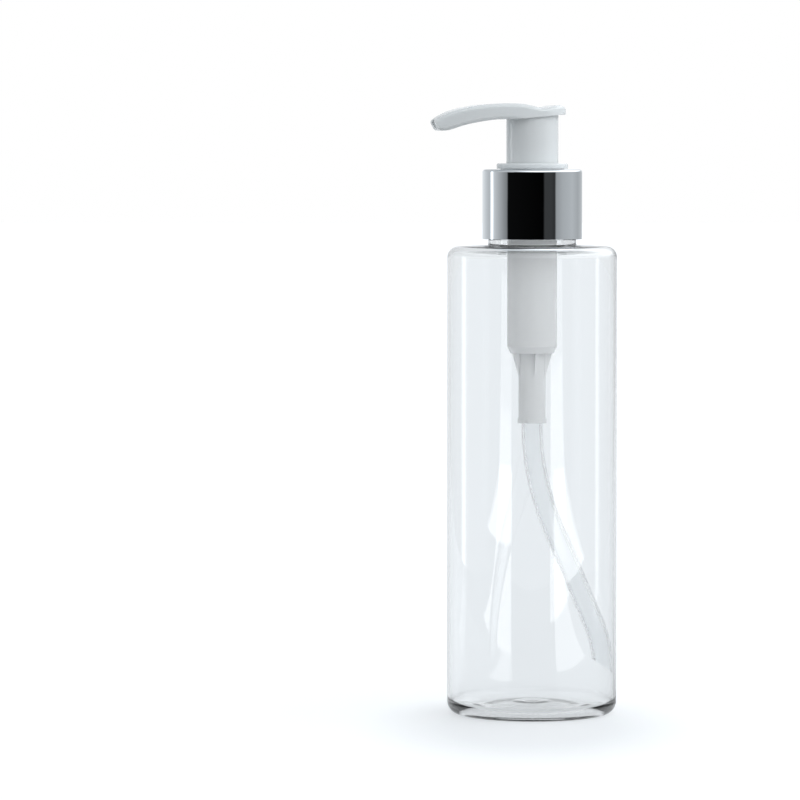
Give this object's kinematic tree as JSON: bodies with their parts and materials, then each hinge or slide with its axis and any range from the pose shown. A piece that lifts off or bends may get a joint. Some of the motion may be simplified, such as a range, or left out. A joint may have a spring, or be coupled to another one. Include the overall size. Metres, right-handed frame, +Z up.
{
  "type": "pump oil bottle",
  "caption": "Clear cylinder bottle with a white lotion pump, bright metal collar and long spout, for dispensing massage oil.",
  "frame": {"origin": "centre of the ring that the bottle stands on, at the height of the surface", "axes": "+Z up along the bottle's axis; the spout points along -X at rest; +Y to the bottle's side"},
  "size_m": [0.0525, 0.0476, 0.1714],
  "materials": {
    "clear_pet": "clear blown plastic, polished",
    "white_pp": "milky moulded plastic, smooth",
    "natural_pp": "natural moulded plastic, slightly see-through",
    "natural_pe": "soft translucent tube",
    "bright_metal": "polished silver shell",
    "foam": "soft white sealing foam",
    "spring_steel": "drawn stainless wire",
    "ball_steel": "polished stainless ball"
  },
  "bodies": {
    "bottle": {"bottle": "clear_pet"},
    "pump_engine": {"housing": "natural_pp", "chaplet": "white_pp", "gasket": "foam", "ball_retainer": "natural_pp", "dip_tube": "natural_pe", "spring": "spring_steel"},
    "screw_cap": {"closure": "white_pp", "overshell": "bright_metal"},
    "stem": {"stem": "white_pp", "piston_rod": "white_pp"},
    "piston": {"piston": "natural_pp"},
    "inlet_ball": {"inlet_ball": "ball_steel"},
    "actuator": {"actuator": "white_pp"}
  },
  "joints": [
    {"name": "pump_rise", "type": "slide", "parent": "bottle", "child": "pump_engine", "axis": [0, 0, 1], "range_m": [0, 0.00476]},
    {"name": "cap_turn", "type": "hinge", "parent": "pump_engine", "child": "screw_cap", "pos_m": [0, 0, 0.145], "axis": [0, 0, 1], "range_deg": [0, 540]},
    {"name": "stroke", "type": "slide", "parent": "pump_engine", "child": "stem", "axis": [0, 0, -1], "range_m": [0, 0.0115], "stiffness_N_per_m": 700, "springref_m": -0.012, "deforming": ["spring"]},
    {"name": "head_swivel", "type": "hinge", "parent": "stem", "child": "actuator", "pos_m": [0, 0, 0.16], "axis": [0, 0, 1], "continuous": true},
    {"name": "piston_slip", "type": "slide", "parent": "stem", "child": "piston", "axis": [0, 0, 1], "range_m": [0, 0.001]},
    {"name": "ball_lift", "type": "slide", "parent": "pump_engine", "child": "inlet_ball", "axis": [0, 0, 1], "range_m": [0, 0.0012]}
  ],
  "couplings": [
    {"joint": "pump_rise", "follows": "cap_turn", "m_per_rad": 0.00050532}
  ]
}
